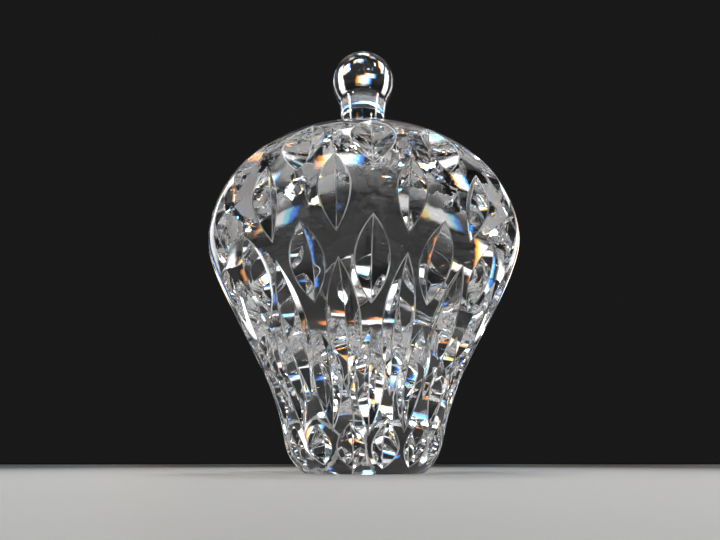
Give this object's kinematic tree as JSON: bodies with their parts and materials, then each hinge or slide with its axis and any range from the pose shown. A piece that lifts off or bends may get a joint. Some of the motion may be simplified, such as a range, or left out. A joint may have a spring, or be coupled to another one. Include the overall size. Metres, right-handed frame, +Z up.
{
  "type": "crystal strawberry paperweight",
  "caption": "Solid clear crystal strawberry with staggered leaf-shaped wheel cuts, a flat ground foot and a round-ended glass stem; weighs down papers on a desk.",
  "frame": {"origin": "centre of the flat foot, on the surface that the paperweight stands on", "axes": "+Z up along the berry's axis from the foot to the stem; -Y faces a column of the first, third and fifth rows of cuts"},
  "size_m": [0.07, 0.07, 0.1059],
  "materials": {
    "body_crystal": "clear lead crystal, polished cuts",
    "neck_crystal": "clear lead crystal, fire polished",
    "knob_crystal": "clear lead crystal, fire polished"
  },
  "bodies": {
    "root": {"cut_body": "body_crystal", "stem_neck": "neck_crystal", "stem_knob": "knob_crystal"}
  },
  "joints": []
}
